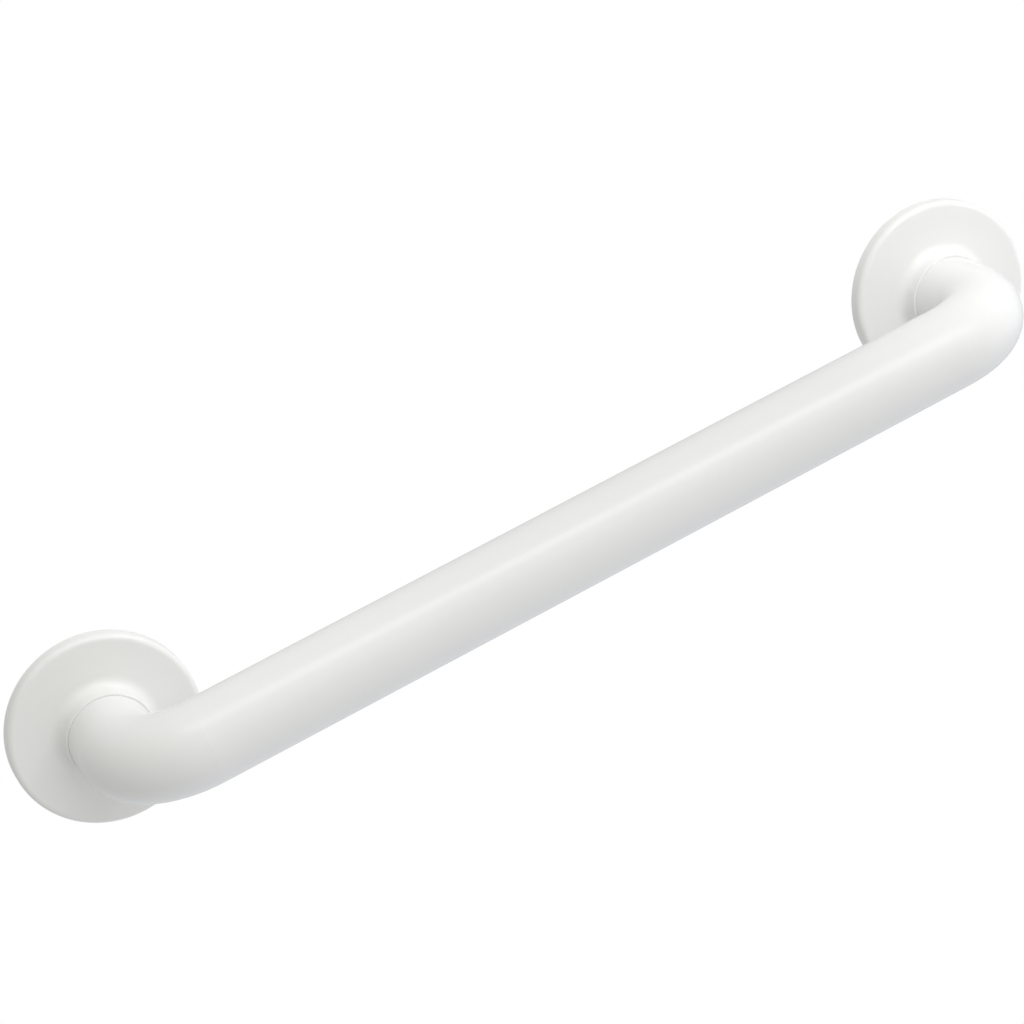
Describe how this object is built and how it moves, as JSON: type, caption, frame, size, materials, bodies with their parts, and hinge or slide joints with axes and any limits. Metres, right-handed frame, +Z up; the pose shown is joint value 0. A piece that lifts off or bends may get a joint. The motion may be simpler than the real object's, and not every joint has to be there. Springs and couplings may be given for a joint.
{
  "type": "grab bar",
  "caption": "Straight white grab bar: a round tube bent square at both ends onto round wall plates, with push-fit covers that hide the screws.",
  "frame": {"origin": "midway between the two flange centres, on the wall plane", "axes": "+X along the bar, +Y into the wall so that the bar stands out towards -Y, +Z up"},
  "size_m": [0.48, 0.0775, 0.08],
  "materials": {
    "bar_coating": "satin",
    "plate_coating": "satin",
    "cover_plastic": "satin"
  },
  "bodies": {
    "root": {"grab_tube": "bar_coating", "left_mounting_plate": "plate_coating", "right_mounting_plate": "plate_coating", "left_flange_cover": "cover_plastic", "right_flange_cover": "cover_plastic"}
  },
  "joints": []
}
